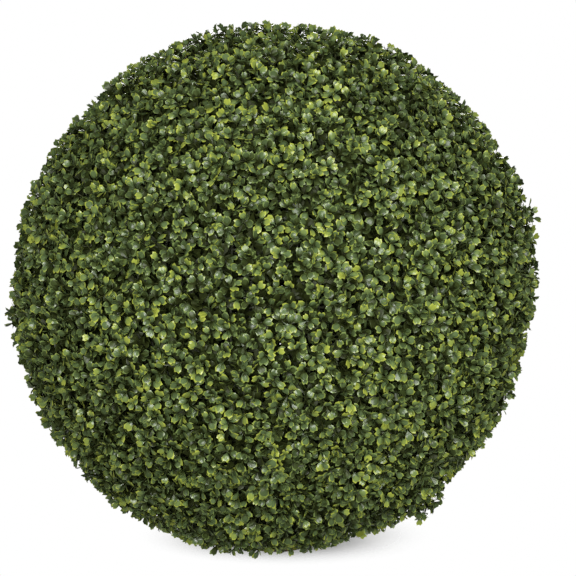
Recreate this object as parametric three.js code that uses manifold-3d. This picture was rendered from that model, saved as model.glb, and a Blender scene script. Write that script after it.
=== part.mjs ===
// Artificial box topiary ball on a short stem of its own.
//
// Millimetres, +Z up. The origin is the middle of the flat cut under the stem,
// the ground is the plane z = 0, and the front of the ball faces -Y. The ball is
// put together as the real one is: an open plastic core in two halves sits on
// the stem, and six mats of leafy sprigs are clipped round it, one to each side
// of a cube. The sprigs are the foliage: each mat is one thick, uneven solid.

import * as THREE from "three";
import Module from "manifold-3d";
import { mergeVertices } from "three/addons/utils/BufferGeometryUtils.js";

// ---- Driving dimensions ----------------------------------------------------

// The ball
const BALL_RADIUS = 288; // centre of the ball to the mean line of the leaf tips
const CENTRE_HEIGHT = 290; // ground to the centre of the ball
const FIT = 0.3; // clear gap between two pieces that touch

// The mats
const MAT_CELLS = 14; // grid cells along each side of a mat
const MAT_HALF_ANGLE = Math.PI / 4; // a mat reaches to the cube's edge each way
const SEAM_DIP = 4; // how far the leaf tips drop back along the edge of a mat
const SEAM_SHARPNESS = 10; // power that keeps the dip close to the edge
const LUMP_WAVES = 9; // waves that are added up to make the tips uneven
const LUMP_HEIGHT = 2.2; // height of the unevenness
const LUMP_FREQUENCY = 19; // radians of wave over one ball radius

// Where the ball is fuller or leaner than its mean: the degrees round from +X,
// the degrees up, the extra reach of the tips and its half width in degrees.
const LOBES = [
  { azimuth: 180, elevation: -62, reach: 9, width: 45 }, // splays out at the foot
  { azimuth: 0, elevation: -18, reach: -5, width: 22 },
  { azimuth: 0, elevation: 48, reach: 3, width: 35 },
  { azimuth: 180, elevation: -5, reach: 8, width: 7 }, // proud sprigs from here on
  { azimuth: 180, elevation: -45, reach: 4, width: 7 },
  { azimuth: 0, elevation: 11, reach: 6, width: 7 },
  { azimuth: 0, elevation: 65, reach: 4, width: 7 },
  { azimuth: 0, elevation: -58, reach: 7, width: 7 },
  { azimuth: 75, elevation: 25, reach: 6, width: 7 },
  { azimuth: 120, elevation: -20, reach: 5, width: 7 },
];

// The core
const CORE_RADIUS = 238; // outside of the plastic core
const CORE_WALL = 3; // thickness of its wall
const CORE_WINDOWS = 16; // openings round each row
const CORE_RIB_SHARE = 0.4; // part of each step round that is rib, not opening
const CORE_ROWS = [0, 6, 19, 27, 40, 48, 61]; // degrees up to each row's edges

// The stem
const STEM_FOOT_RADIUS = 29; // flare at the ground
const STEM_NECK_RADIUS = 18.7; // where the core's collar holds it
const STEM_TOP_RADIUS = 14; // at the start of the rounded tip
const STEM_HEIGHT = 128; // ground to the tip
const STEM_SIDES = 24;
const STEM_FLARE_HEIGHT = 40; // the flare has died away here
const STEM_FLARE_STEPS = 5;
const STEM_TIP_STEPS = 3;
const COLLAR_TOP = 62; // the neck is straight from the flare up to here

// ---- Finishes --------------------------------------------------------------

const leafGreen = () =>
  new THREE.MeshStandardMaterial({ color: 0x3f6024, roughness: 0.42, metalness: 0 });
const corePlastic = () =>
  new THREE.MeshStandardMaterial({ color: 0x1d2c17, roughness: 0.6, metalness: 0 });
const stemBark = () =>
  new THREE.MeshStandardMaterial({ color: 0x5a4632, roughness: 0.85, metalness: 0 });

// ---- Booleans --------------------------------------------------------------

const wasm = await Module();
wasm.setup();

/** Turns a closed geometry into a solid that can be cut. */
function toSolid(geometry) {
  return new wasm.Manifold(
    new wasm.Mesh({
      numProp: 3,
      vertProperties: new Float32Array(geometry.attributes.position.array),
      triVerts: new Uint32Array(geometry.index.array),
    }),
  );
}

/** Turns a cut solid back into a geometry. */
function toGeometry(solid) {
  const mesh = solid.getMesh();
  const geometry = new THREE.BufferGeometry();
  geometry.setAttribute("position", new THREE.BufferAttribute(mesh.vertProperties, 3));
  geometry.setIndex(new THREE.BufferAttribute(mesh.triVerts, 1));
  return geometry;
}

// ---- Shapes ----------------------------------------------------------------

/**
 * A closed solid with an outer and an inner skin over one grid of cells.
 * place(column, row, isOuter) gives a grid corner as a Vector3. Open cells are
 * left out of both skins, and every free edge gets a wall. Seen from outside,
 * columns run to the right and rows run up. With wraps, the last column of
 * cells meets the first.
 */
function gridSolid({ columns, rows, place, wraps = false, isOpen = () => false }) {
  const corners = wraps ? columns : columns + 1;
  const layer = corners * (rows + 1);
  const positions = [];
  for (const isOuter of [true, false]) {
    for (let row = 0; row <= rows; row += 1) {
      for (let column = 0; column < corners; column += 1) {
        positions.push(...place(column, row, isOuter).toArray());
      }
    }
  }
  const outer = (column, row) => row * corners + (column % corners);
  const inner = (column, row) => outer(column, row) + layer;
  const isSolid = (column, row) => {
    const inside = row >= 0 && row < rows && (wraps || (column >= 0 && column < columns));
    return inside && !isOpen((column + columns) % columns, row);
  };

  const indices = [];
  const quad = (a, b, c, d) => indices.push(a, b, c, a, c, d);
  const wall = (c0, r0, c1, r1) =>
    quad(outer(c1, r1), outer(c0, r0), inner(c0, r0), inner(c1, r1));
  for (let row = 0; row < rows; row += 1) {
    for (let column = 0; column < columns; column += 1) {
      if (!isSolid(column, row)) continue;
      const right = column + 1;
      const up = row + 1;
      quad(outer(column, row), outer(right, row), outer(right, up), outer(column, up));
      quad(inner(column, up), inner(right, up), inner(right, row), inner(column, row));
      if (!isSolid(column, row - 1)) wall(column, row, right, row);
      if (!isSolid(right, row)) wall(right, row, right, up);
      if (!isSolid(column, up)) wall(right, up, column, up);
      if (!isSolid(column - 1, row)) wall(column, up, column, row);
    }
  }
  const geometry = new THREE.BufferGeometry();
  geometry.setAttribute("position", new THREE.Float32BufferAttribute(positions, 3));
  geometry.setIndex(indices);
  return geometry;
}

/** A solid of revolution about Z from a profile of [radius, height] points. */
function turnedSolid(profile) {
  const points = profile.map(([radius, height]) => new THREE.Vector2(radius, height));
  const geometry = new THREE.LatheGeometry(points, STEM_SIDES);
  geometry.rotateX(Math.PI / 2);
  geometry.deleteAttribute("normal");
  geometry.deleteAttribute("uv");
  return mergeVertices(geometry, 1e-3);
}

/** The direction at an azimuth and an elevation, both in degrees. */
function directionAt(azimuth, elevation) {
  const a = THREE.MathUtils.degToRad(azimuth);
  const e = THREE.MathUtils.degToRad(elevation);
  return new THREE.Vector3(Math.cos(a) * Math.cos(e), Math.sin(a) * Math.cos(e), Math.sin(e));
}

// ---- Foliage ---------------------------------------------------------------

/** Directions spread evenly round the ball, along which the waves run. */
const waveAxes = Array.from({ length: LUMP_WAVES }, (_, i) => {
  const goldenAngle = 180 * (3 - Math.sqrt(5));
  const height = 1 - (2 * i + 1) / LUMP_WAVES;
  return directionAt(i * goldenAngle, THREE.MathUtils.radToDeg(Math.asin(height)));
});

/** How far the leaf tips reach from the ball's centre in one direction. */
function tipRadius(direction) {
  const lump = waveAxes.reduce(
    (sum, axis, i) => sum + Math.sin(LUMP_FREQUENCY * direction.dot(axis) + i * i),
    0,
  );
  const fullness = LOBES.reduce((sum, { azimuth, elevation, reach, width }) => {
    const angle = direction.angleTo(directionAt(azimuth, elevation));
    const away = THREE.MathUtils.radToDeg(angle) / width;
    return sum + reach * Math.exp(-away * away);
  }, 0);
  return BALL_RADIUS + (LUMP_HEIGHT * lump) / Math.sqrt(LUMP_WAVES) + fullness;
}

/** Radius of a mat's inner skin: its flat facets must clear the round core. */
function innerRadius() {
  const halfDiagonal = (MAT_HALF_ANGLE / MAT_CELLS) * Math.SQRT2;
  return (CORE_RADIUS + FIT) / Math.cos(halfDiagonal);
}

/**
 * One mat of sprigs. out is the side of the cube that it lies on, and across
 * runs to the right along it. Tips that would pass the ground stop on it.
 */
function foliageMat(out, across) {
  const up = new THREE.Vector3().crossVectors(out, across);
  const gapAngle = FIT / 2 / CORE_RADIUS;
  const reachOf = (share) => Math.tan(share * (MAT_HALF_ANGLE - gapAngle));
  return gridSolid({
    columns: MAT_CELLS,
    rows: MAT_CELLS,
    place: (column, row, isOuter) => {
      const u = (2 * column) / MAT_CELLS - 1;
      const v = (2 * row) / MAT_CELLS - 1;
      const direction = out
        .clone()
        .addScaledVector(across, reachOf(u))
        .addScaledVector(up, reachOf(v))
        .normalize();
      if (!isOuter) return direction.multiplyScalar(innerRadius());
      const dip = SEAM_DIP * Math.max(Math.abs(u), Math.abs(v)) ** SEAM_SHARPNESS;
      const point = direction.multiplyScalar(tipRadius(direction) - dip);
      if (point.z < -CENTRE_HEIGHT) {
        point.multiplyScalar(-CENTRE_HEIGHT / point.z).setZ(-CENTRE_HEIGHT);
      }
      return point;
    },
  });
}

// ---- Core ------------------------------------------------------------------

/** The upper half of the core: rows of openings up to a collar at the top. */
function coreHalf() {
  const step = (2 * Math.PI) / CORE_WINDOWS;
  const insideRadius = CORE_RADIUS - CORE_WALL;
  const collarRadius = (STEM_NECK_RADIUS + FIT) / Math.cos(step / 2);
  const rim = THREE.MathUtils.radToDeg(FIT / 2 / insideRadius);
  const collar = THREE.MathUtils.radToDeg(Math.acos(collarRadius / insideRadius));
  const rows = [rim, ...CORE_ROWS.slice(1), collar];
  return gridSolid({
    columns: 2 * CORE_WINDOWS,
    rows: rows.length - 1,
    wraps: true,
    isOpen: (column, row) => column % 2 === 1 && row % 2 === 1,
    place: (column, row, isOuter) => {
      const turn = step * (Math.floor(column / 2) + (column % 2) * CORE_RIB_SHARE);
      const radius = isOuter ? CORE_RADIUS : insideRadius;
      return directionAt(THREE.MathUtils.radToDeg(turn), rows[row]).multiplyScalar(radius);
    },
  });
}

// ---- Stem ------------------------------------------------------------------

/** The stem's side from the ground to the tip, as [radius, height] points. */
function stemSide() {
  const flare = Array.from({ length: STEM_FLARE_STEPS + 1 }, (_, i) => {
    const share = i / STEM_FLARE_STEPS;
    const spread = (STEM_FOOT_RADIUS - STEM_NECK_RADIUS) * (1 - share) ** 2;
    return [STEM_NECK_RADIUS + spread, STEM_FLARE_HEIGHT * share];
  });
  const tip = Array.from({ length: STEM_TIP_STEPS }, (_, i) => {
    const angle = (i / STEM_TIP_STEPS) * (Math.PI / 2);
    const height = STEM_HEIGHT - STEM_TOP_RADIUS * (1 - Math.sin(angle));
    return [STEM_TOP_RADIUS * Math.cos(angle), height];
  });
  return [...flare, [STEM_NECK_RADIUS, COLLAR_TOP], ...tip];
}

/** The stem, standing on the ground with its flat cut down. */
function stem() {
  return turnedSolid([[0, 0], ...stemSide(), [0, STEM_HEIGHT]]);
}

/** What a mat has to lose to stand clear of the stem, in the ball's frame. */
function stemClearance() {
  const side = stemSide().map(([radius, height]) => [radius + FIT, height]);
  const foot = [STEM_FOOT_RADIUS + FIT, -CORE_WALL];
  const profile = [[0, -CORE_WALL], foot, ...side, [0, STEM_HEIGHT]];
  return turnedSolid(profile).translate(0, 0, -CENTRE_HEIGHT);
}

// ---- Assembly --------------------------------------------------------------

function piece(name, geometry, material) {
  const mesh = new THREE.Mesh(geometry, material);
  mesh.name = name;
  return mesh;
}

const X = new THREE.Vector3(1, 0, 0);
const Y = new THREE.Vector3(0, 1, 0);
const Z = new THREE.Vector3(0, 0, 1);
const MATS = [
  { name: "foliage_front", out: Y.clone().negate(), across: X },
  { name: "foliage_back", out: Y, across: X.clone().negate() },
  { name: "foliage_left", out: X.clone().negate(), across: Y.clone().negate() },
  { name: "foliage_right", out: X, across: Y },
  { name: "foliage_top", out: Z, across: X },
  { name: "foliage_bottom", out: Z.clone().negate(), across: X.clone().negate() },
];

const ball = new THREE.Group();
ball.position.z = CENTRE_HEIGHT;
for (const { name, out, across } of MATS) {
  const mat = foliageMat(out, across);
  const holdsStem = out.z < 0;
  const shape = holdsStem ? toGeometry(toSolid(mat).subtract(toSolid(stemClearance()))) : mat;
  ball.add(piece(name, shape, leafGreen()));
}
ball.add(piece("core_upper_half", coreHalf(), corePlastic()));
const coreLower = piece("core_lower_half", coreHalf(), corePlastic());
coreLower.rotation.x = Math.PI;
ball.add(coreLower);

const topiary = new THREE.Group();
topiary.add(ball);
topiary.add(piece("stem", stem(), stemBark()));

export default topiary;
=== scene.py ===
"""Artificial box topiary ball: leafy sprigs on a plastic core and a short stem.

The CAD frame gives the places and sizes that the rest follows: the core's centre
and radius, how far the leaf tips reach in each direction, and the stem. Six mats
of sprigs are grown from the core by one seeded branching rule. Units are metres,
+Z is up, and the front of the ball faces -Y.
"""
import logging
import math
from dataclasses import dataclass, field
from enum import Enum, IntEnum

import bpy
import numpy as np
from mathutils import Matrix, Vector
from mathutils.bvhtree import BVHTree


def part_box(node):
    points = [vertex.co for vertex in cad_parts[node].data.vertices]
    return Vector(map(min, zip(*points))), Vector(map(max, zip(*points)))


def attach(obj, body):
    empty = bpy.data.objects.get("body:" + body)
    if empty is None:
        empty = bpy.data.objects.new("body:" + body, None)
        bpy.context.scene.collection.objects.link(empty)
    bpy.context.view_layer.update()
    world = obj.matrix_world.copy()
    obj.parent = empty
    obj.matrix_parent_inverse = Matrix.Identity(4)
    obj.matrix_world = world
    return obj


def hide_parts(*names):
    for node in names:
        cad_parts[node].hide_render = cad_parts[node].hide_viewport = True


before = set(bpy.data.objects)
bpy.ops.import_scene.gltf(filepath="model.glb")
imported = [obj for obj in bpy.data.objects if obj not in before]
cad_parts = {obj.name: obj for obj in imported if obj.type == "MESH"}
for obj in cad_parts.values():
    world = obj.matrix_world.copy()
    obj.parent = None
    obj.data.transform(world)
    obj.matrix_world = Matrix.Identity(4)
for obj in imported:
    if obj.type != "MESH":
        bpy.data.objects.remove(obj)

LOG = logging.getLogger("topiary")
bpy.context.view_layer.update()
MM = 0.001
FULL_TURN = 2 * math.pi


# ---- Node trees ---------------------------------------------------------------


class Wire:
    """An output of a node tree that takes part in Python expressions as a number."""

    def __init__(self, board: "NodeBoard", socket: bpy.types.NodeSocket) -> None:
        """Keeps the socket and the board that its sums are drawn on."""
        self.board = board
        self.socket = socket

    def _sum(self, operation: str, first: object, second: object) -> "Wire":
        """Adds one Math node.

        Args:
            operation: The Math node's operation.
            first: The first value, a Wire or a number.
            second: The second value, a Wire or a number.

        Returns:
            The node's result.
        """
        node = self.board.add("ShaderNodeMath", {"operation": operation}, {0: first, 1: second})
        return Wire(self.board, node.outputs[0])

    def __add__(self, other: object) -> "Wire":
        """Adds a number or a Wire."""
        return self._sum("ADD", self, other)

    def __radd__(self, other: object) -> "Wire":
        """Adds this to a number."""
        return self._sum("ADD", other, self)

    def __rsub__(self, other: object) -> "Wire":
        """Takes this away from a number."""
        return self._sum("SUBTRACT", other, self)

    def __mul__(self, other: object) -> "Wire":
        """Multiplies by a number or a Wire."""
        return self._sum("MULTIPLY", self, other)

    def __rmul__(self, other: object) -> "Wire":
        """Multiplies a number by this."""
        return self._sum("MULTIPLY", other, self)

    def at_least(self, other: object) -> "Wire":
        """The larger of this and another value."""
        return self._sum("MAXIMUM", self, other)

    def at_most(self, other: object) -> "Wire":
        """The smaller of this and another value."""
        return self._sum("MINIMUM", self, other)


class NodeBoard:
    """A node tree of either kind, with one method that adds any node."""

    def __init__(self, tree: bpy.types.NodeTree) -> None:
        """Keeps the tree that the nodes are added to."""
        self.tree = tree

    def add(
        self, kind: str, settings: dict | None = None, sockets: dict | None = None
    ) -> bpy.types.Node:
        """Adds a node.

        Args:
            kind: The node's type.
            settings: Its own settings, set before the sockets are read.
            sockets: A value, a socket or a Wire for each input, by name or index.

        Returns:
            The new node.
        """
        node = self.tree.nodes.new(kind)
        for name, value in (settings or {}).items():
            setattr(node, name, value)
        for key, value in (sockets or {}).items():
            source = value.socket if isinstance(value, Wire) else value
            if isinstance(source, bpy.types.NodeSocket):
                self.tree.links.new(source, node.inputs[key])
            else:
                node.inputs[key].default_value = source
        return node

    def wire(self, kind: str, settings: dict | None = None, sockets: dict | None = None) -> Wire:
        """Adds a node and returns its first output that is in use."""
        node = self.add(kind, settings, sockets)
        return Wire(self, next(s for s in node.outputs if s.enabled))


class GeometryRecipe:
    """A geometry node tree with named inputs that turns one mesh into another."""

    def __init__(self, name: str) -> None:
        """Starts a tree that has a mesh coming in and a mesh going out.

        Args:
            name: The tree's name.
        """
        self.tree = bpy.data.node_groups.new(name, "GeometryNodeTree")
        self.board = NodeBoard(self.tree)
        self.identifiers: dict[str, str] = {}
        geometry = "NodeSocketGeometry"
        self.tree.interface.new_socket("Geometry", in_out="INPUT", socket_type=geometry)
        self.tree.interface.new_socket("Geometry", in_out="OUTPUT", socket_type=geometry)
        self.entry = self.board.add("NodeGroupInput")
        self.exit = self.board.add("NodeGroupOutput")

    def input(self, name: str, kind: str) -> Wire:
        """Adds a named input to the tree.

        Args:
            name: The input's name.
            kind: Its socket type without the prefix, such as Float or Object.

        Returns:
            The input, ready to be linked.
        """
        socket = self.tree.interface.new_socket(
            name, in_out="INPUT", socket_type=f"NodeSocket{kind}"
        )
        self.identifiers[name] = socket.identifier
        return Wire(self.board, self.entry.outputs[name])

    def attribute(self, name: str, kind: str) -> Wire:
        """Reads a named attribute of the given data type."""
        return self.board.wire("GeometryNodeInputNamedAttribute", {"data_type": kind}, {"Name": name})

    def start(self) -> Wire:
        """The mesh that comes in."""
        return Wire(self.board, self.entry.outputs["Geometry"])

    def finish(self, geometry: Wire) -> None:
        """Sends a geometry out of the tree."""
        self.tree.links.new(geometry.socket, self.exit.inputs["Geometry"])

    def run(self, base: bpy.types.Mesh, values: dict[str, object], name: str) -> bpy.types.Object:
        """Runs the tree on a mesh and keeps the result as a plain object.

        Args:
            base: The mesh that goes in.
            values: A value for each named input.
            name: The new object's name.

        Returns:
            An object with a plain mesh, at the origin and with no modifier.
        """
        carrier = bpy.data.objects.new(f"{name}_carrier", base)
        bpy.context.scene.collection.objects.link(carrier)
        modifier = carrier.modifiers.new(self.tree.name, "NODES")
        modifier.node_group = self.tree
        for key, value in values.items():
            modifier[self.identifiers[key]] = value
        graph = bpy.context.evaluated_depsgraph_get()
        mesh = bpy.data.meshes.new_from_object(carrier.evaluated_get(graph), depsgraph=graph)
        carrier.modifiers.remove(modifier)
        bpy.data.objects.remove(carrier)
        return place_piece(name, mesh)


def place_piece(name: str, mesh: bpy.types.Mesh) -> bpy.types.Object:
    """Puts a mesh in the scene as an object at the origin.

    Args:
        name: The object's name.
        mesh: Its mesh, in the frame's own place.

    Returns:
        The new object.
    """
    mesh.name = name
    piece = bpy.data.objects.new(name, mesh)
    bpy.context.scene.collection.objects.link(piece)
    return piece


# ---- Finishes -----------------------------------------------------------------


class Tone(IntEnum):
    """The colours of the moulded leaves, from the darkest to the palest.

    The darkest ones mostly serve as painted shade, for leaves deep in the ball and for stalk ends.
    """

    BLACKISH = 0
    SHADE = 1
    DEEP = 2
    BOTTLE = 3
    LEAF = 4
    FRESH = 5
    LIME = 6
    PALE = 7


@dataclass(frozen=True)
class Gloss:
    """A plain finish of one colour, with its roughness and its shine."""

    colour: tuple[float, float, float]
    roughness: float
    shine: float

    def dress(self, shader: bpy.types.Node) -> None:
        """Sets the shader's own sockets to this finish.

        Args:
            shader: The Principled shader to set.
        """
        shader.inputs["Base Color"].default_value = (*self.colour, 1)
        shader.inputs["Roughness"].default_value = self.roughness
        shader.inputs["Specular IOR Level"].default_value = self.shine

    def material(self, name: str) -> bpy.types.Material:
        """Makes the finish's material.

        Args:
            name: The material's name.

        Returns:
            The new material.
        """
        material, _, shader = new_material(name)
        self.dress(shader)
        material.diffuse_color = (*self.colour, 1)
        return material


# BLACKISH and SHADE are mostly painted shade for the deep leaves; the paler tones are the leaves' own
# greens and pale rims.
LEAF_FINISHES = {
    Tone.BLACKISH: Gloss((0.017, 0.022, 0.005), 0.45, 0.1),
    Tone.SHADE: Gloss((0.033, 0.046, 0.012), 0.35, 0.2),
    Tone.DEEP: Gloss((0.046, 0.068, 0.024), 0.26, 0.28),
    Tone.BOTTLE: Gloss((0.070, 0.104, 0.038), 0.22, 0.29),
    Tone.LEAF: Gloss((0.111, 0.154, 0.044), 0.21, 0.29),
    Tone.FRESH: Gloss((0.163, 0.206, 0.040), 0.21, 0.28),
    Tone.LIME: Gloss((0.214, 0.252, 0.036), 0.23, 0.27),
    Tone.PALE: Gloss((0.261, 0.297, 0.044), 0.25, 0.27),
}
# The twigs' dull green, made darker as painted shade for the gaps where they show.
TWIG_GREEN_AND_SHADE = Gloss((0.046, 0.053, 0.015), 0.4, 0.3)
FLOOR_FINISH = Gloss((0.92, 0.92, 0.91), 0.9, 0.1)


def new_material(name: str) -> tuple[bpy.types.Material, NodeBoard, bpy.types.Node]:
    """Starts a material with one Principled shader.

    Args:
        name: The material's name.

    Returns:
        The material, the board of its nodes and its shader.
    """
    material = bpy.data.materials.new(name)
    material.use_nodes = True
    material.node_tree.nodes.clear()
    board = NodeBoard(material.node_tree)
    shader = board.add("ShaderNodeBsdfPrincipled")
    board.add("ShaderNodeOutputMaterial", None, {"Surface": shader.outputs["BSDF"]})
    return material, board, shader


@dataclass(frozen=True)
class CorePlastic:
    """Dull dark green moulded plastic with the faint mottling of recycled stock."""

    dark: tuple[float, float, float] = (0.020, 0.024, 0.007)
    light: tuple[float, float, float] = (0.040, 0.048, 0.014)
    mottle_scale: float = 60.0
    grain_scale: float = 900.0
    grain_strength: float = 0.2
    grain_depth: float = 0.2 * MM
    roughness: float = 0.45
    roughness_spread: float = 0.25

    def material(self) -> bpy.types.Material:
        """Makes the core's material.

        Returns:
            The new material.
        """
        material, board, shader = new_material("core_plastic")
        place = board.add("ShaderNodeTexCoord").outputs["Object"]
        mottle = board.wire(
            "ShaderNodeTexNoise", None, {"Vector": place, "Scale": self.mottle_scale, "Detail": 3.0}
        )
        grain = board.wire(
            "ShaderNodeTexNoise", None, {"Vector": place, "Scale": self.grain_scale, "Detail": 2.0}
        )
        colour = board.add(
            "ShaderNodeMix",
            {"data_type": "RGBA"},
            {"Factor": mottle, 6: (*self.dark, 1), 7: (*self.light, 1)},
        )
        bump = board.add(
            "ShaderNodeBump",
            None,
            {"Strength": self.grain_strength, "Distance": self.grain_depth, "Height": grain},
        )
        roughness = self.roughness + mottle * self.roughness_spread
        links = board.tree.links
        links.new(colour.outputs[2], shader.inputs["Base Color"])
        links.new(roughness.socket, shader.inputs["Roughness"])
        links.new(bump.outputs["Normal"], shader.inputs["Normal"])
        return material


@dataclass(frozen=True)
class Bark:
    """Grey-brown bark: long furrows, pale ridges and a fine grain."""

    furrow: tuple[float, float, float] = (0.055, 0.035, 0.022)
    ridge: tuple[float, float, float] = (0.210, 0.155, 0.105)
    furrow_scale: float = 85.0
    furrow_share: float = 0.8
    furrow_level: float = 0.4
    ridge_level: float = 0.62
    speckle_scale: float = 700.0
    stretch: float = 0.22
    bump_strength: float = 0.6
    bump_depth: float = 1.0 * MM
    ridge_smoothing: float = 0.3

    def material(self) -> bpy.types.Material:
        """Makes the stem's material.

        Returns:
            The new material.
        """
        material, board, shader = new_material("stem_bark")
        place = board.add("ShaderNodeTexCoord").outputs["Object"]
        along = board.add(
            "ShaderNodeMapping", None, {"Vector": place, "Scale": (1, 1, self.stretch)}
        ).outputs["Vector"]
        furrows = board.wire(
            "ShaderNodeTexNoise",
            None,
            {"Vector": along, "Scale": self.furrow_scale, "Detail": 6.0, "Roughness": 0.65},
        )
        speckle = board.wire(
            "ShaderNodeTexNoise", None, {"Vector": place, "Scale": self.speckle_scale, "Detail": 3.0}
        )
        height = furrows * self.furrow_share + speckle * (1 - self.furrow_share)
        ramp = board.add("ShaderNodeValToRGB", None, {"Fac": height})
        low, high = ramp.color_ramp.elements
        low.position = self.furrow_level
        low.color = (*self.furrow, 1)
        high.position = self.ridge_level
        high.color = (*self.ridge, 1)
        bump = board.add(
            "ShaderNodeBump",
            None,
            {"Strength": self.bump_strength, "Distance": self.bump_depth, "Height": height},
        )
        roughness = 1.0 - furrows * self.ridge_smoothing
        links = board.tree.links
        links.new(ramp.outputs["Color"], shader.inputs["Base Color"])
        links.new(roughness.socket, shader.inputs["Roughness"])
        links.new(bump.outputs["Normal"], shader.inputs["Normal"])
        return material


# ---- Leaves -------------------------------------------------------------------


class Detail(Enum):
    """How finely a leaf is drawn."""

    FULL = "full"
    PLAIN = "plain"


@dataclass(frozen=True)
class BoxLeaf:
    """One moulded box leaf, lying along +Y with its glossy face up.

    A point of the blade is (across, along): a share of half the width and a share
    of the length. The blade is a spade: a narrow stalk end that widens steadily to
    square shoulders, and a blunt tip of two soft lobes with a notch between them.
    The dome bends it down at its edges, the curl along its length, the crease lifts
    both halves from the middle line and the skew bends its tip aside. The body and
    the rim are the steps in tone of those zones of the face. The stalk end stays at
    step 0, darker than the body: partly the leaf's own colour from base to tip and
    partly painted shade, where the stalk end tucks into the rosette.
    """

    length: float = 12.8 * MM
    width: float = 8.6 * MM
    dome: float = 0.34
    curl: float = 0.44
    crease: float = 0.04
    skew: float = 0.0
    body: int = 0
    rim: int = 2

    STALK = (0.0, 0.0)
    MIDDLE = (0.0, 0.44)
    NOTCH = (0.0, 0.92)
    EDGE = ((0.11, 0.24), (0.68, 0.48), (1.0, 0.77), (0.60, 1.0))
    INNER_EDGE = ((0.79, 0.74), (0.47, 0.89))
    TIP_START = 0.66
    TIP_LENGTH = 0.34
    TIP_DROOP = 0.8
    PLAIN_CROWN = (0.0, 0.86)
    PLAIN_EDGE = ((0.62, 0.44), (0.95, 0.84))

    def lift(self, across: float, along: float) -> tuple[float, float, float]:
        """Bends a flat point of the blade into its moulded form.

        Args:
            across: Share of half the width, negative to the left.
            along: Share of the length from the stalk.

        Returns:
            The point in metres.
        """
        half = self.width / 2
        sideways = across * half + self.skew * half * along * along
        ends = max(0.0, along - self.TIP_START) / self.TIP_LENGTH
        rise = -self.dome * half * (across * across + self.TIP_DROOP * ends * ends)
        rise += self.crease * half * abs(across)
        bend = self.curl * self.length * (0.25 - (along - 0.5) ** 2)
        return (sideways, along * self.length, rise + bend)

    def _halves(self, spine: list, side: list, pattern: list) -> tuple[list, list, list]:
        """Lays a pattern of faces out on both halves of the blade.

        Args:
            spine: Points on the middle line.
            side: Points of the right half.
            pattern: Corners and zone of each face of the right half; a corner counts
                through the spine and then the side.

        Returns:
            The points, the faces and the zone of each face.
        """
        flat = [*spine, *side, *((-across, along) for across, along in side)]
        faces, zones = [], []
        for corners, zone in pattern:
            faces.append(corners)
            mirrored = [c + len(side) if c >= len(spine) else c for c in corners]
            faces.append(mirrored[::-1])
            zones += [zone, zone]
        return flat, faces, zones

    def build(self, name: str, detail: Detail) -> bpy.types.Object:
        """Makes the leaf as an object that the sprigs can copy.

        Args:
            name: The object's name.
            detail: How finely it is drawn.

        Returns:
            The leaf, with the colour zone of each face in the attribute zone.
        """
        if detail is Detail.FULL:
            spine = [self.STALK, self.MIDDLE, self.NOTCH]
            # Towards the stalk the faces step darker: partly the leaf's own colour and partly painted
            # shade where it tucks into the rosette.
            pattern = [
                ((0, 3, 1), 0),
                ((3, 4, 1), 0),
                ((1, 4, 7), self.body - 1),
                ((1, 7, 8), self.body),
                ((1, 8, 2), self.body),
                ((4, 5, 7), self.rim),
                ((7, 5, 6), self.rim),
                ((7, 6, 8), self.rim),
                ((8, 6, 2), self.rim),
            ]
            shape = self._halves(spine, [*self.EDGE, *self.INNER_EDGE], pattern)
        else:
            spine = [self.STALK, self.PLAIN_CROWN, self.NOTCH]
            # The plain leaf's stalk end is a step darker than its tip: partly its own colour and
            # partly painted shade.
            pattern = [((0, 3, 1), 0), ((1, 3, 4), 0), ((1, 4, 2), 1)]
            shape = self._halves(spine, [*self.PLAIN_EDGE], pattern)
        flat, faces, zones = shape
        mesh = bpy.data.meshes.new(name)
        mesh.from_pydata([self.lift(*point) for point in flat], [], faces, shade_flat=False)
        ribs = [all(v < len(spine) for v in edge.vertices) for edge in mesh.edges]
        mesh.attributes.new("sharp_edge", "BOOLEAN", "EDGE").data.foreach_set("value", ribs)
        mesh.attributes.new("zone", "INT", "FACE").data.foreach_set("value", zones)
        return place_piece(name, mesh)


LEAF_SHAPES = (
    BoxLeaf(dome=0.40, crease=0.22, body=2, rim=4),
    BoxLeaf(dome=0.52, curl=0.48, crease=0.10, skew=0.06, body=2, rim=4),
    BoxLeaf(length=11.8 * MM, dome=-0.26, curl=0.36, crease=0.34, skew=-0.05, body=1, rim=3),
    BoxLeaf(width=7.5 * MM, dome=0.26, curl=0.52, crease=0.34, skew=0.10, body=2, rim=4),
    BoxLeaf(length=13.6 * MM, width=9.2 * MM, dome=0.44, curl=0.36, crease=0.18, body=1, rim=4),
    BoxLeaf(dome=0.30, curl=0.40, crease=0.24, skew=-0.08, body=3, rim=5),
)


# ---- Growth -------------------------------------------------------------------


def unit(vectors: np.ndarray) -> np.ndarray:
    """Scales each row to length one."""
    return vectors / np.linalg.norm(vectors, axis=-1, keepdims=True)


NEARLY_UPRIGHT = 0.9


def side_axes(directions: np.ndarray) -> tuple[np.ndarray, np.ndarray]:
    """Two axes across each direction.

    Args:
        directions: Unit vectors, one a row.

    Returns:
        Two arrays of unit vectors, each square to its direction and to the other.
    """
    leaning = np.abs(directions[:, 2:]) < NEARLY_UPRIGHT
    helper = np.where(leaning, [[0.0, 0.0, 1.0]], [[1.0, 0.0, 0.0]])
    first = unit(np.cross(helper, directions))
    return first, np.cross(directions, first)


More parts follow.
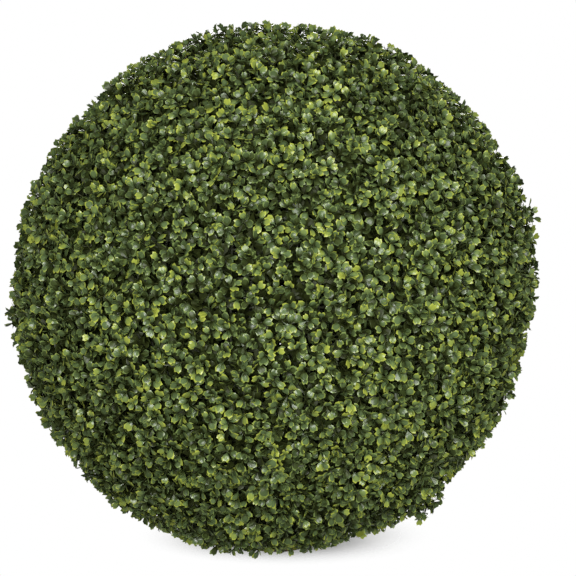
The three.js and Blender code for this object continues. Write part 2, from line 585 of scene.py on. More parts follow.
@dataclass
class BallForm:
    """The ball's centre, its core and the reach of its leaf tips, from the CAD frame."""

    centre: Vector = field(init=False)
    core_radius: float = field(init=False)
    ground: float = field(init=False)
    surface: BVHTree = field(init=False)

    NUDGE = Vector((0.004, 0.003, -0.002))
    TRIES = 3
    LEAST_REACH = 1.1

    def __post_init__(self) -> None:
        """Measures the core and gathers the foliage solids into one surface."""
        upper_low, upper_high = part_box("core_upper_half")
        _, lower_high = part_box("core_lower_half")
        self.centre = Vector((0, 0, (upper_low[2] + lower_high[2]) / 2))
        self.core_radius = (upper_high[0] - upper_low[0]) / 2
        self.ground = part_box("stem")[0][2]
        points, faces = [], []
        for name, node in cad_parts.items():
            if name.startswith("foliage_"):
                first = len(points)
                points += [vertex.co.copy() for vertex in node.data.vertices]
                faces += [[first + i for i in face.vertices] for face in node.data.polygons]
        self.surface = BVHTree.FromPolygons(points, faces)

    def reach(self, directions: np.ndarray) -> np.ndarray:
        """How far the leaf tips reach from the centre.

        A ray that slips into the gap between two mats is nudged and tried again.

        Args:
            directions: Unit vectors, one a row.

        Returns:
            One distance for each direction.
        """
        far = 2 * self.core_radius
        least = self.core_radius * self.LEAST_REACH
        distances = []
        for direction in directions:
            way = Vector(direction)
            for _ in range(self.TRIES):
                hit = self.surface.ray_cast(self.centre + far * way, -way)[0]
                distance = (hit - self.centre).length if hit else 0
                if distance > least:
                    break
                way = (way + self.NUDGE).normalized()
            distances.append(distance)
        return np.array(distances)


@dataclass(frozen=True)
class MatSide:
    """One side of the cube that the mats are laid out on."""

    name: str
    out: tuple[int, int, int]
    across: tuple[int, int, int]

    def directions(self, u: np.ndarray, v: np.ndarray) -> np.ndarray:
        """Directions of points on the mat.

        Args:
            u: Shares from -1 at the left edge to 1 at the right edge.
            v: Shares from -1 at the lower edge to 1 at the upper edge.

        Returns:
            Unit vectors, one a row.
        """
        out, across = np.array(self.out, float), np.array(self.across, float)
        up = np.cross(out, across)
        quarter = math.pi / 4
        return unit(out + np.tan(u * quarter)[:, None] * across + np.tan(v * quarter)[:, None] * up)


MAT_SIDES = (
    MatSide("front", (0, -1, 0), (1, 0, 0)),
    MatSide("back", (0, 1, 0), (-1, 0, 0)),
    MatSide("left", (-1, 0, 0), (0, -1, 0)),
    MatSide("right", (1, 0, 0), (0, 1, 0)),
    MatSide("top", (0, 0, 1), (1, 0, 0)),
    MatSide("bottom", (0, 0, -1), (-1, 0, 0)),
)


@dataclass(frozen=True)
class LooseSprig:
    """A place where a few shoots have worked loose from the ball's even face.

    The bearing is degrees round from the right side towards the front, the rise is
    degrees up and the spread is degrees too. The shoots stand out by the lift and
    hang down by the sag.
    """

    bearing: float
    rise: float
    spread: float
    lift: float
    sag: float

    def near(self, ways: np.ndarray) -> np.ndarray:
        """Which directions lie within the spread.

        Args:
            ways: Unit vectors, one a row.

        Returns:
            A truth value for each direction.
        """
        b, e = math.radians(self.bearing), math.radians(self.rise)
        way = np.array([math.cos(b) * math.cos(e), -math.sin(b) * math.cos(e), math.sin(e)])
        return ways @ way > math.cos(math.radians(self.spread))


LOOSE_SPRIGS = (
    LooseSprig(4, -53, 3.9, 3 * MM, 14 * MM),
    LooseSprig(2, 15, 2.6, 6 * MM, 0.0),
    LooseSprig(178, -6, 3.0, 0.5 * MM, 1 * MM),
    LooseSprig(178, -44, 2.6, 5 * MM, 3 * MM),
)


@dataclass
class Shoots:
    """Leafy shoots, one a row: a curve from its fork to its tip, and a tone step that is the shoot's
    own colour, one step darker as painted shade where the shoot is set low.
    """

    fork: np.ndarray
    elbow: np.ndarray
    tip: np.ndarray
    tint: np.ndarray

    def at(self, share: np.ndarray) -> np.ndarray:
        """Points on the shoots at a share of the way from fork to tip."""
        s = share[:, None]
        return (1 - s) ** 2 * self.fork + 2 * s * (1 - s) * self.elbow + s * s * self.tip

    def heading(self, share: np.ndarray) -> np.ndarray:
        """Unit directions of growth at a share of the way from fork to tip."""
        s = share[:, None]
        return unit((1 - s) * (self.elbow - self.fork) + s * (self.tip - self.elbow))

    def length(self) -> np.ndarray:
        """Length of each shoot, near enough for a gentle curve.

        Returns:
            One length for each shoot.
        """
        chord = np.linalg.norm(self.tip - self.fork, axis=1)
        legs = np.linalg.norm(self.elbow - self.fork, axis=1)
        legs += np.linalg.norm(self.tip - self.elbow, axis=1)
        return (2 * chord + legs) / 3


@dataclass(frozen=True)
class PairLevel:
    """One pair of leaves on a shoot, counted from its tip.

    Its painted shade step darkens the deeper pairs, as painted shade for the foliage above them.
    """

    back: float
    open_angle: float
    size: float
    painted_shade_step: int
    detail: Detail


@dataclass(frozen=True)
class Tier:
    """One layer of shoots: how close they stand, how far they reach and their leaves.

    A shoot that is set low also takes one tone darker, as painted shade for its depth.
    """

    rows: int
    stray: float
    inset: float
    depth_scatter: float
    low_share: float
    low_depth: float
    tints: tuple[float, ...]
    levels: tuple[PairLevel, ...]


def pair_levels(detail: Detail, *rows: tuple[float, float, float, int]) -> tuple[PairLevel, ...]:
    """Pairs of leaves from rows of setback in mm, opening angle, size and step of painted shade."""
    return tuple(PairLevel(back * MM, angle, size, step, detail) for back, angle, size, step in rows)


# The last number of each row of levels is a step of painted shade: the deeper pairs are drawn darker.
OUTER_TIER = Tier(
    rows=28,
    stray=0.36,
    inset=8.0 * MM,
    depth_scatter=1.4 * MM,
    low_share=0.10,
    low_depth=9 * MM,
    tints=(0.28, 0.52, 0.17, 0.03),
    levels=(
        *pair_levels(
            Detail.FULL,
            (0.2, 40, 0.86, 0),
            (3.8, 57, 0.97, 0),
            (8.0, 67, 0.99, -1),
        ),
        *pair_levels(
            Detail.PLAIN,
            (12.5, 78, 0.96, -2),
            (17.0, 84, 1.0, -2),
            (22.0, 88, 1.05, -2),
        ),
    ),
)
# The inner tier's tints lean to the darkest tones and its pairs step darker still: painted shade for
# leaves that lie within the ball.
INNER_TIER = Tier(
    rows=22,
    stray=0.45,
    inset=13.5 * MM,
    depth_scatter=3 * MM,
    low_share=0.25,
    low_depth=8 * MM,
    tints=(0.60, 0.32, 0.08),
    levels=pair_levels(
        Detail.PLAIN,
        (0.2, 30, 0.75, -1),
        (3.0, 46, 0.95, -1),
        (7.0, 72, 1.0, -1),
        (11.5, 82, 1.1, -2),
        (16.5, 86, 1.1, -2),
    ),
)
# The low leaves keep the darkest tones, painted shade near the core, and are drawn up to half again
# larger than life.
UNDER_LEVELS = pair_levels(
    Detail.PLAIN,
    (0.5, 60, 1.3, 0),
    (2.0, 72, 1.35, 0),
    (4.0, 80, 1.4, 0),
    (6.0, 84, 1.45, 0),
    (8.0, 88, 1.5, 0),
    (10.0, 92, 1.5, 0),
)


@dataclass
class LeafPlaces:
    """Where the leaves of one kind go, one a row."""

    position: np.ndarray
    along: np.ndarray
    face: np.ndarray
    size: np.ndarray
    shape: np.ndarray
    tint: np.ndarray

    def joined(self, other: "LeafPlaces") -> "LeafPlaces":
        """These places and another set of places together."""
        return LeafPlaces(*map(np.concatenate, zip(vars(self).values(), vars(other).values())))

    def mesh(self, name: str) -> bpy.types.Mesh:
        """Writes the places as a mesh of loose points with attributes.

        Args:
            name: The mesh's name.

        Returns:
            The new mesh.
        """
        mesh = bpy.data.meshes.new(name)
        mesh.vertices.add(len(self.position))
        mesh.vertices.foreach_set("co", self.position.ravel())
        for key, kind, slot in (
            ("along", "FLOAT_VECTOR", "vector"),
            ("face", "FLOAT_VECTOR", "vector"),
            ("size", "FLOAT", "value"),
            ("shape", "INT", "value"),
            ("tint", "INT", "value"),
        ):
            values = getattr(self, key)
            mesh.attributes.new(key, kind, "POINT").data.foreach_set(slot, values.ravel())
        return mesh


@dataclass
class SprigMat:
    """One mat of sprigs, grown from the core by a seeded branching rule."""

    side: MatSide
    form: BallForm
    seed: int
    root_rows: int = 12
    root_stray: float = 0.12
    root_tilt: float = 0.12
    fork_height: float = 12 * MM
    low_range: tuple[float, float] = (0.4, 1.2)
    sway: float = 0.26
    fan: float = 0.40
    fan_distance: float = 20 * MM
    hang_distance: float = 10 * MM
    elbow_share: float = 0.5
    wind: float = 22.0
    under_wind: float = FULL_TURN * 5 / 16
    first_share: float = 0.04
    twist_scatter: float = 14.0
    open_scatter: float = 23.0
    roll_scatter: float = 25.0
    size_scatter: float = 0.10
    size_range: tuple[float, float] = (0.75, 1.25)
    fallen: float = 0.06
    palest: int = 3
    tone_steps: tuple[float, ...] = (0.12, 0.24, 0.28, 0.24, 0.12)

    def __post_init__(self) -> None:
        """Starts the mat's own run of random numbers and sets its sprigs on the core."""
        self.random = np.random.default_rng(self.seed)
        self.roots = self._grid(self.root_rows, self.root_stray)
        right, up = side_axes(self.roots)
        self.feet = np.array(self.form.centre) + self.roots * self.form.core_radius
        tilt = self.random.normal(0, self.root_tilt, (2, len(self.roots), 1))
        rise = unit(self.roots + tilt[0] * right + tilt[1] * up)
        self.forks = self.feet + rise * self.fork_height

    def _grid(self, rows: int, stray: float) -> np.ndarray:
        """Directions in staggered rows over the mat.

        Args:
            rows: Number of rows, and of directions in a row.
            stray: How far each one may stray, as a share of the spacing.

        Returns:
            Unit vectors, one a row.
        """
        pitch = 2 / rows
        cells = (np.arange(rows) + 0.5) * pitch - 1
        u, v = np.meshgrid(cells, cells)
        u[::2] += pitch / 4
        u[1::2] -= pitch / 4
        moved = self.random.uniform(-stray, stray, (2, rows, rows)) * pitch
        return self.side.directions((u + moved[0]).ravel(), (v + moved[1]).ravel())

    def shoots(self, tier: Tier) -> Shoots:
        """Forks the sprigs into one tier of shoots, each from the sprig nearest its tip.

        Args:
            tier: The layer of shoots to grow.

        Returns:
            The shoots.
        """
        ways = self._grid(tier.rows, tier.stray)
        parent = np.argmax(ways @ self.roots.T, axis=1)
        total = len(ways)
        reach = self.form.reach(ways) - tier.inset
        reach -= np.abs(self.random.normal(0, tier.depth_scatter, total))
        low = self.random.random(total) < tier.low_share
        reach -= low * self.random.uniform(*self.low_range, total) * tier.low_depth
        tips = np.array(self.form.centre) + ways * reach[:, None]
        hang = np.zeros((total, 1))
        for sprig in LOOSE_SPRIGS:
            loose = sprig.near(ways)
            tips[loose] += sprig.lift * ways[loose] - (0, 0, sprig.sag)
            hang[loose] = sprig.sag / self.hang_distance
        first, second = side_axes(ways)
        sway = self.random.normal(0, self.sway, (2, total, 1))
        outward = (ways - self.roots[parent]) * self.form.core_radius / self.fan_distance
        heading = ways + self.fan * outward + sway[0] * first + sway[1] * second
        heading = unit(heading - hang * (0, 0, 1))
        fork = self.forks[parent]
        run = np.linalg.norm(tips - fork, axis=1, keepdims=True)
        # A shoot set low is one tone darker: painted shade for its depth.
        tint = self.random.choice(len(tier.tints), total, p=tier.tints) - low
        return Shoots(fork, tips - heading * run * self.elbow_share, tips, tint)

    def leaves(self, shoots: Shoots, levels: tuple[PairLevel, ...]) -> dict[Detail, LeafPlaces]:
        """Sets opposite pairs of leaves along every shoot, each pair across the last.

        Args:
            shoots: The shoots that carry the leaves.
            levels: The pairs that every shoot carries, from its tip.

        Returns:
            The places of the leaves of each detail.
        """
        rows: dict[Detail, list[list[np.ndarray]]] = {}
        total = len(shoots.tip)
        length = shoots.length()
        twist = self.random.uniform(0, FULL_TURN, total)
        for level in levels:
            share = (1 - level.back / length).clip(self.first_share)
            point, heading = shoots.at(share), shoots.heading(share)
            twist = twist + FULL_TURN / 4 + np.radians(self.random.normal(0, self.wind, total))
            for half in range(2):
                turn = twist + half * FULL_TURN / 2
                places = self._pair_half(level, point, heading, turn, shoots.tint)
                rows.setdefault(level.detail, []).append(places)
        return {
            detail: LeafPlaces(*(np.concatenate(column) for column in zip(*parts)))
            for detail, parts in rows.items()
        }

    def under_leaves(self) -> LeafPlaces:
        """Sets the low leaves on the sprigs' own stems, near the core, in the darkest tones as painted
        shade.

        Returns:
            The places of the leaves.
        """
        rows = []
        total = len(self.feet)
        heading = unit(self.forks - self.feet)
        # No tint step: these leaves take the darkest tones, painted shade.
        tint = np.zeros(total, int)
        twist = self.random.uniform(0, FULL_TURN, total)
        for level in UNDER_LEVELS:
            point = self.forks - heading * level.back
            twist = twist + self.under_wind
            for half in range(2):
                turn = twist + half * FULL_TURN / 2
                rows.append(self._pair_half(level, point, heading, turn, tint))
        return LeafPlaces(*(np.concatenate(column) for column in zip(*rows)))

    def _pair_half(
        self,
        level: PairLevel,
        point: np.ndarray,
        heading: np.ndarray,
        turn: np.ndarray,
        tint: np.ndarray,
    ) -> list[np.ndarray]:
        """Places one leaf of a pair on every shoot.

        Args:
            level: The pair's angle, size and step of painted shade.
            point: Where the pair sits on each shoot.
            heading: Each shoot's direction there.
            turn: The leaf's turn about each shoot.
            tint: Each shoot's colour step, with the painted shade of a low shoot.

        Returns:
            The leaves' positions, axes, faces, sizes, shapes and colour steps with their painted
            shade.
        """
        total = len(point)
        first, second = side_axes(heading)
        scatter = np.radians(self.random.normal(0, 1, (3, total)))
        turn = turn + scatter[0] * self.twist_scatter
        opening = math.radians(level.open_angle) + scatter[1] * self.open_scatter
        radial = np.cos(turn)[:, None] * first + np.sin(turn)[:, None] * second
        cosine, sine = np.cos(opening)[:, None], np.sin(opening)[:, None]
        along = cosine * heading + sine * radial
        face = sine * heading - cosine * radial
        roll = (scatter[2] * self.roll_scatter)[:, None]
        face = np.cos(roll) * face + np.sin(roll) * np.cross(along, face)
        size = level.size * self.random.normal(1, self.size_scatter, total).clip(*self.size_range)
        shape = self.random.integers(0, len(LEAF_SHAPES), total)
        change = self.random.choice(len(self.tone_steps), total, p=self.tone_steps)
        change -= len(self.tone_steps) // 2
        # The level's step darkens the deeper pairs as painted shade; the change is the leaves' own
        # random tone.
        tint = (tint + level.painted_shade_step + change).clip(0, self.palest)
        kept = self.random.random(total) > self.fallen
        return [column[kept] for column in (point, along, face, size, shape, tint)]


@dataclass
class TwigRun:
    """Twigs as polylines, each a row of points with the radius at each point."""

    points: np.ndarray
    radii: np.ndarray

    def mesh(self, name: str) -> bpy.types.Mesh:
        """Writes the polylines as a mesh of edges with the attribute thickness.

        Args:
            name: The mesh's name.

        Returns:
            The new mesh.
        """
        lines, steps = self.points.shape[:2]
        index = np.arange(lines * steps).reshape(lines, steps)
        edges = np.stack([index[:, :-1].ravel(), index[:, 1:].ravel()], axis=1)
        mesh = bpy.data.meshes.new(name)
        mesh.from_pydata(self.points.reshape(-1, 3).tolist(), edges.tolist(), [])
        thickness = np.broadcast_to(self.radii, (lines, steps)).ravel()
        mesh.attributes.new("thickness", "FLOAT", "POINT").data.foreach_set("value", thickness)
        return mesh


# ---- Recipes ------------------------------------------------------------------


class LeafPlanter:
    """Geometry nodes that set a leaf on every place and give each zone its tone."""

    TONE_MARGIN = 0.1

    def __init__(self, tones: dict[Tone, bpy.types.Material]) -> None:
        """Builds the tree.

        Args:
            tones: The material of each tone.
        """
        self.tones = tones
        self.recipe = GeometryRecipe("leaf_planter")
        recipe, board = self.recipe, self.recipe.board
        ground = recipe.input("Ground", "Float")
        shapes = [recipe.input(f"Shape {i}", "Object") for i in range(len(LEAF_SHAPES))]
        gather = board.add("GeometryNodeJoinGeometry")
        for shape in reversed(shapes):
            info = board.add("GeometryNodeObjectInfo", None, {"Object": shape, "As Instance": True})
            board.tree.links.new(info.outputs["Geometry"], gather.inputs[0])
        turn = board.wire(
            "FunctionNodeAxesToRotation",
            {"primary_axis": "Y", "secondary_axis": "Z"},
            {
                "Primary Axis": recipe.attribute("along", "FLOAT_VECTOR"),
                "Secondary Axis": recipe.attribute("face", "FLOAT_VECTOR"),
            },
        )
        planted = board.wire(
            "GeometryNodeInstanceOnPoints",
            None,
            {
                "Points": recipe.start(),
                "Instance": gather.outputs[0],
                "Pick Instance": True,
                "Instance Index": recipe.attribute("shape", "INT"),
                "Rotation": turn,
                "Scale": recipe.attribute("size", "FLOAT"),
            },
        )
        leaves = board.wire("GeometryNodeRealizeInstances", None, {"Geometry": planted})
        place = board.add("ShaderNodeSeparateXYZ", None, {0: board.wire("GeometryNodeInputPosition")})
        x, y, z = (Wire(board, socket) for socket in place.outputs)
        pressed = board.wire("ShaderNodeCombineXYZ", None, {0: x, 1: y, 2: z.at_least(ground)})
        leaves = board.wire("GeometryNodeSetPosition", None, {"Geometry": leaves, "Position": pressed})
        # A tone is the leaf's own colour step plus painted shade: darker for deep pairs, low shoots
        # and stalk ends.
        tone = recipe.attribute("tint", "INT") + recipe.attribute("zone", "INT")
        tone = tone.at_most(float(max(Tone)))
        for step in Tone:
            chosen = board.wire(
                "FunctionNodeCompare",
                {"data_type": "FLOAT", "operation": "EQUAL"},
                {0: tone, 1: float(step), "Epsilon": self.TONE_MARGIN},
            )
            material = recipe.input(f"Tone {step.name.lower()}", "Material")
            leaves = board.wire(
                "GeometryNodeSetMaterial",
                None,
                {"Geometry": leaves, "Selection": chosen, "Material": material},
            )
        recipe.finish(leaves)

    def plant(
        self, places: LeafPlaces, leaves: list[bpy.types.Object], ground: float, name: str
    ) -> bpy.types.Object:
        """Plants one piece's leaves.

        Args:
            places: Where the leaves go.
            leaves: The leaf of each shape.
            ground: The height that no leaf goes below.
            name: The piece's name.

        Returns:
            The piece, a plain mesh.
        """
        values: dict[str, object] = {"Ground": ground}
        values |= {f"Shape {i}": leaf for i, leaf in enumerate(leaves)}
        values |= {f"Tone {tone.name.lower()}": self.tones[tone] for tone in Tone}
        piece = self.recipe.run(places.mesh(f"{name}_places"), values, name)
        for attribute in ("along", "face", "size", "shape", "tint", "zone"):
            if attribute in piece.data.attributes:
                piece.data.attributes.remove(piece.data.attributes[attribute])
        return piece


class RodMaker:
    """Geometry nodes that sweep a small round rod along every polyline."""

    def __init__(self, material: bpy.types.Material) -> None:
        """Builds the tree.

        Args:
            material: The rods' material.
        """
        self.material = material
        self.recipe = GeometryRecipe("rod_maker")
        recipe, board = self.recipe, self.recipe.board
        sides = recipe.input("Sides", "Int")
        finish = recipe.input("Finish", "Material")
        lines = board.wire("GeometryNodeMeshToCurve", None, {"Mesh": recipe.start()})
        section = board.wire(
            "GeometryNodeCurvePrimitiveCircle", None, {"Resolution": sides, "Radius": 1.0}
        )
        rods = board.wire(
            "GeometryNodeCurveToMesh",
            None,
            {
                "Curve": lines,
                "Profile Curve": section,
                "Scale": recipe.attribute("thickness", "FLOAT"),
                "Fill Caps": True,
            },
        )
        real = board.wire("GeometryNodeRealizeInstances", None, {"Geometry": rods})
        recipe.finish(
            board.wire("GeometryNodeSetMaterial", None, {"Geometry": real, "Material": finish})
        )

    def sweep(self, run: TwigRun, sides: int, name: str) -> bpy.types.Object:
        """Sweeps the rods of one piece.

        Args:
            run: The polylines and their radii.
            sides: Sides of each rod's section.
            name: The piece's name.

        Returns:
            The piece, a plain mesh.
        """
        values = {"Sides": sides, "Finish": self.material}
        piece = self.recipe.run(run.mesh(f"{name}_lines"), values, name)
        if "thickness" in piece.data.attributes:
            piece.data.attributes.remove(piece.data.attributes["thickness"])
        return piece


# ---- Sub-assemblies -----------------------------------------------------------


def settle(piece: bpy.types.Object, slot: str, *nodes: str) -> None:
    """Puts a finished piece on the object's one body.

    Args:
        piece: The finished piece.
        slot: Not used.
        nodes: The CAD nodes that it stands for.
    """
    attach(piece, "root")
    if nodes:
        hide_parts(*nodes)
    triangles = sum(len(face.vertices) - 2 for face in piece.data.polygons)
    LOG.info("%s: %d triangles", piece.name, triangles)


@dataclass
class Foliage:
    """The six mats of sprigs: their twigs, their outer leaves and the leaves within."""

    form: BallForm
    seed: int = 41
    twig_steps: int = 4
    twig_sides: int = 3
    stem_radius: float = 1.4 * MM
    shoot_radius: float = 0.7 * MM
    tip_radius: float = 0.45 * MM
    press_height: float = 0.4 * MM

    def build(self) -> None:
        """Grows and settles every mat."""
        tones = {tone: LEAF_FINISHES[tone].material(f"leaf_{tone.name.lower()}") for tone in Tone}
        planter = LeafPlanter(tones)
        rods = RodMaker(TWIG_GREEN_AND_SHADE.material("twig_green"))
        leaves = {
            detail: [
                shape.build(f"leaf_{detail.value}_{i}", detail)
                for i, shape in enumerate(LEAF_SHAPES)
            ]
            for detail in Detail
        }
        ground = self.form.ground + self.press_height
        for number, side in enumerate(MAT_SIDES):
            mat = SprigMat(side, self.form, self.seed + number)
            outer, inner = mat.shoots(OUTER_TIER), mat.shoots(INNER_TIER)
            top = mat.leaves(outer, OUTER_TIER.levels)
            deep = mat.leaves(inner, INNER_TIER.levels)
            hidden = top[Detail.PLAIN].joined(deep[Detail.PLAIN]).joined(mat.under_leaves())
            for places, detail, name, nodes in (
                (top[Detail.FULL], Detail.FULL, "leaves", [f"foliage_{side.name}"]),
                (hidden, Detail.PLAIN, "inner_leaves", []),
            ):
                piece = planter.plant(places, leaves[detail], ground, f"{name}_{side.name}")
                settle(piece, "foliage", *nodes)
            self._twigs(rods, mat, (outer, inner), ground)
        for leaf in (leaf for kind in leaves.values() for leaf in kind):
            bpy.data.objects.remove(leaf)

    def _twigs(
        self, rods: RodMaker, mat: SprigMat, tiers: tuple[Shoots, ...], ground: float
    ) -> None:
        """Sweeps one mat's sprig stems and shoots into one piece.

        Args:
            rods: The recipe that sweeps them.
            mat: The mat that they belong to.
            tiers: The mat's shoots.
            ground: The height that no twig goes below.
        """
        shares = np.linspace(0, 1, self.twig_steps)
        lines = [np.stack([mat.feet + (mat.forks - mat.feet) * share for share in shares], axis=1)]
        radii = [np.linspace(self.stem_radius, self.shoot_radius, self.twig_steps)]
        for shoots in tiers:
            total = len(shoots.tip)
            lines.append(np.stack([shoots.at(np.full(total, share)) for share in shares], axis=1))
            radii.append(np.linspace(self.shoot_radius, self.tip_radius, self.twig_steps))
        points = np.concatenate(lines)
        points[..., 2] = points[..., 2].clip(ground + self.shoot_radius)
        spread = [np.broadcast_to(r, line.shape[:2]) for r, line in zip(radii, lines)]
        run = TwigRun(points, np.concatenate(spread))
        settle(rods.sweep(run, self.twig_sides, f"twigs_{mat.side.name}"), "foliage")


@dataclass
class Core:
    """The two halves of the core: a close round lattice of moulded ribs."""

    form: BallForm
    meridians: int = 64
    rings: int = 14
    ring_arcs: int = 4
    rib_radius: float = 3.4 * MM
    rib_sides: int = 4
    collar_radius: float = 19.2 * MM
    first_rise: float = 0.004
    steps: int = 12

    def _half(self, up: int) -> TwigRun:
        """The ribs of one half.

        Args:
            up: 1 for the upper half, -1 for the lower half.

        Returns:
            The ribs as polylines.
        """
        radius = self.form.core_radius - self.rib_radius
        top = math.acos(self.collar_radius / radius)
        turns = np.arange(self.meridians) * FULL_TURN / self.meridians
        rises = np.linspace(self.first_rise, top, self.steps)
        lines = [self._points(np.full(self.steps, turn), rises, radius, up) for turn in turns]
        for rise in np.linspace(self.first_rise, top, self.rings):
            for arc in range(self.ring_arcs):
                sweep = np.linspace(arc, arc + 1, self.steps) * FULL_TURN / self.ring_arcs
                lines.append(self._points(sweep, np.full(self.steps, rise), radius, up))
        points = np.stack(lines)
        return TwigRun(points, np.full(points.shape[:2], self.rib_radius))

    def _points(self, turn: np.ndarray, rise: np.ndarray, radius: float, up: int) -> np.ndarray:
        """Points of the core.

        Args:
            turn: Turns about the upright axis, in radians.
            rise: Angles up from the rim between the halves, in radians.
            radius: Distance from the centre.
            up: 1 for the upper half, -1 for the lower half.

        Returns:
            One point a row.
        """
        level = np.cos(rise)
        ways = np.stack([np.cos(turn) * level, np.sin(turn) * level, up * np.sin(rise)], axis=1)
        return np.array(self.form.centre) + radius * ways

    def build(self) -> None:
        """Sweeps and settles both halves."""
        rods = RodMaker(CorePlastic().material())
        for name, up in (("upper", 1), ("lower", -1)):
            piece = rods.sweep(self._half(up), self.rib_sides, f"core_lattice_{name}")
            settle(piece, "core", f"core_{name}_half")


@dataclass
class MatGrid:
    """The dark moulded grids that back the mats and that the sprigs clip into."""

    form: BallForm
    lines: int = 26
    strand_radius: float = 2.9 * MM
    strand_sides: int = 3
    height: float = 2.5 * MM

    def build(self) -> None:
        """Sweeps and settles the grid of every mat."""
        rods = RodMaker(CorePlastic().material())
        radius = self.form.core_radius + self.height
        steps = np.linspace(-1, 1, self.lines + 1)
        for side in MAT_SIDES:
            u, v = np.meshgrid(steps, steps)
            ways = side.directions(u.ravel(), v.ravel())
            nodes = np.array(self.form.centre) + radius * ways
            nodes = nodes.reshape(self.lines + 1, self.lines + 1, 3)
            points = np.concatenate([nodes, nodes.transpose(1, 0, 2)])
            run = TwigRun(points, np.full(points.shape[:2], self.strand_radius))
            settle(rods.sweep(run, self.strand_sides, f"mat_grid_{side.name}"), "core")


@dataclass
class Stem:
    """The short stem: the CAD stem's own outline with the relief of bark.

    The furrows run up the stem and wander from side to side, and finer cracks cross
    them. The relief fades out at the ground and at the stem's rounded tip.
    """

    columns: int = 72
    rows: int = 60
    row_bias: float = 1.2
    relief: float = 0.9 * MM
    foot_fade: float = 4 * MM
    tip_fade: float = 6
    least_radius: float = 0.2 * MM
    furrows: int = 13
    wander: float = 2.2
    wander_rate: float = 90
    cracks: int = 29
    crack_share: float = 0.5
    crack_rate: float = 160

    def _depth(self, turn: float, z: float) -> float:
        """How deep the bark lies below the CAD stem's face at a point.

        Args:
            turn: Turn about the stem, in radians.
            z: Height in metres.

        Returns:
            The depth as a share of the relief, 0 or less.
        """
        wave = math.sin(self.furrows * turn + self.wander * math.sin(z * self.wander_rate + turn))
        wave += self.crack_share * math.sin(self.cracks * turn - z * self.crack_rate)
        return 0.5 * wave - 0.5 * (1 + self.crack_share)

    def build(self) -> None:
        """Wraps a fine skin round the CAD stem and settles it."""
        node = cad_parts["stem"].data
        low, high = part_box("stem")
        spots = {(round(v.co.z, 5), round(math.hypot(v.co.x, v.co.y), 5)) for v in node.vertices}
        outline = [(z, r) for z, r in sorted(spots) if r > 0]
        heights, radii = np.array(outline).T
        levels = low[2] + (high[2] - low[2]) * np.linspace(0, 1, self.rows + 1) ** self.row_bias
        points = []
        for z in levels:
            radius = float(np.interp(z, heights, radii))
            fade = min(1.0, (z - low[2]) / self.foot_fade)
            fade *= min(1.0, radius / self.relief / self.tip_fade)
            for column in range(self.columns):
                turn = column * FULL_TURN / self.columns
                depth = self.relief * fade * self._depth(turn, z)
                reach = max(radius + depth, self.least_radius)
                points.append((reach * math.cos(turn), reach * math.sin(turn), z))
        mesh = bpy.data.meshes.new("stem_wood")
        mesh.from_pydata(points, [], self._faces(), shade_flat=False)
        mesh.materials.append(Bark().material())
        settle(place_piece("stem_wood", mesh), "stem", "stem")

    def _faces(self) -> list[tuple[int, ...]]:
        """The skin's faces, with one across each end.

        Returns:
            The corners of each face, counted row by row.
        """
        faces = []
        for row in range(self.rows):
            for column in range(self.columns):
                right = (column + 1) % self.columns
                a, b = row * self.columns + column, row * self.columns + right
                faces.append((a, b, b + self.columns, a + self.columns))
        faces.append(tuple(reversed(range(self.columns))))
        faces.append(tuple(range(self.rows * self.columns, (self.rows + 1) * self.columns)))
        return faces


@dataclass(frozen=True)
class SoftLight:
    """A soft square light, placed by degrees up and degrees round from the front."""

    name: str
    size: float
    power: float
    rise: float
    azimuth: float


SOFT_LIGHTS = (
    SoftLight("key", 1.4, 76, 22, 22),
    SoftLight("side", 1.2, 77, 2, -12),
    SoftLight("back", 1.6, 75, 18, 180),
)


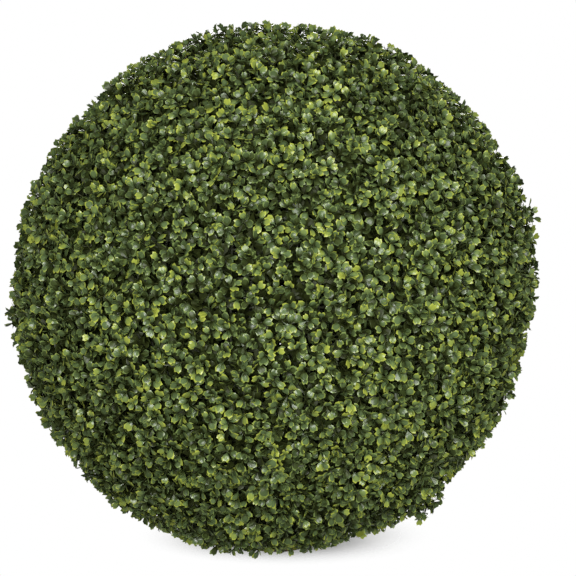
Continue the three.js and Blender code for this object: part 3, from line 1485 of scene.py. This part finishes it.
@dataclass
class Studio:
    """A pale floor, soft white light and the camera."""

    form: BallForm
    camera_rise: float = 5.0
    camera_distance: float = 2.3
    lens: float = 130.7
    aim_across: float = 13.4 * MM
    aim_up: float = -1.5 * MM
    sensor_width: float = 36
    world_light: float = 0.215
    light_distance: float = 2.8
    floor_half: float = 0.6
    floor_drop: float = 0.2 * MM
    floor_middle: tuple[float, float, float] = (0.012, 0.07, 0.0)
    floor_cover: float = 0.85
    floor_solid: float = 0.06
    floor_reach: float = 0.171

    def build(self) -> None:
        """Makes the light, the floor and the camera."""
        bpy.context.scene.view_settings.view_transform = "Standard"
        self._world()
        self._floor()
        for lamp in SOFT_LIGHTS:
            self._hang(lamp)
        self._camera()

    def _world(self) -> None:
        """Sets the soft light from all round, with white behind the ball."""
        world = bpy.data.worlds.new("studio")
        bpy.context.scene.world = world
        world.use_nodes = True
        board = NodeBoard(world.node_tree)
        world.node_tree.nodes.clear()
        seen = Wire(board, board.add("ShaderNodeLightPath").outputs["Is Camera Ray"])
        glow = self.world_light + seen * (1 - self.world_light)
        back = board.add("ShaderNodeBackground", None, {"Color": (1, 1, 1, 1), "Strength": glow})
        board.add("ShaderNodeOutputWorld", None, {"Surface": back.outputs[0]})

    def _floor(self) -> None:
        """Lays the floor, which fades out round the ball's foot."""
        half = self.floor_half
        z = self.form.ground - self.floor_drop
        mesh = bpy.data.meshes.new("floor")
        corners = [(-half, -half, z), (half, -half, z), (half, half, z), (-half, half, z)]
        mesh.from_pydata(corners, [], [(0, 1, 2, 3)])
        material, board, shader = new_material("floor_white")
        FLOOR_FINISH.dress(shader)
        place = board.add("ShaderNodeTexCoord").outputs["Object"]
        away = board.add(
            "ShaderNodeVectorMath", {"operation": "DISTANCE"}, {0: place, 1: self.floor_middle}
        ).outputs["Value"]
        share = board.wire(
            "ShaderNodeMapRange",
            {"interpolation_type": "SMOOTHSTEP"},
            {"Value": away, "From Min": self.floor_solid, "From Max": self.floor_reach},
        )
        cover = self.floor_cover * (1 - share)
        board.tree.links.new(cover.socket, shader.inputs["Alpha"])
        mesh.materials.append(material)
        place_piece("floor", mesh)

    def _spot(self, azimuth: float, rise: float, distance: float) -> Vector:
        """A point round the ball.

        Args:
            azimuth: Degrees round from the front, to the right.
            rise: Degrees up.
            distance: Metres from the ball's centre.

        Returns:
            The point.
        """
        a, e = math.radians(azimuth), math.radians(rise)
        way = Vector((math.sin(a) * math.cos(e), -math.cos(a) * math.cos(e), math.sin(e)))
        return self.form.centre + distance * way

    def _hang(self, lamp: SoftLight) -> None:
        """Hangs one light so that it faces the ball.

        Args:
            lamp: The light to hang.
        """
        data = bpy.data.lights.new(lamp.name, "AREA")
        data.shape = "SQUARE"
        data.size = lamp.size
        data.energy = lamp.power
        light = bpy.data.objects.new(lamp.name, data)
        light.location = self._spot(lamp.azimuth, lamp.rise, self.light_distance)
        light.rotation_euler = (self.form.centre - light.location).to_track_quat("-Z", "Y").to_euler()
        bpy.context.scene.collection.objects.link(light)

    def _camera(self) -> None:
        """Sets the camera a little above the ball's centre, in front of it."""
        data = bpy.data.cameras.new("camera")
        data.lens = self.lens
        data.sensor_width = self.sensor_width
        camera = bpy.data.objects.new("camera", data)
        aside = Vector((self.aim_across, 0, self.aim_up))
        camera.location = self._spot(0, self.camera_rise, self.camera_distance) + aside
        aim = self.form.centre + aside
        camera.rotation_euler = (aim - camera.location).to_track_quat("-Z", "Y").to_euler()
        bpy.context.scene.collection.objects.link(camera)
        bpy.context.scene.camera = camera


def main() -> None:
    """Builds the ball and its studio, and notes its size."""
    logging.basicConfig(level=logging.INFO, format="%(name)s: %(message)s")
    form = BallForm()
    LOG.info("centre %.4f m up, core radius %.4f m", form.centre.z, form.core_radius)
    Studio(form).build()
    Stem().build()
    Core(form).build()
    MatGrid(form).build()
    Foliage(form).build()


if __name__ == "__main__":
    main()
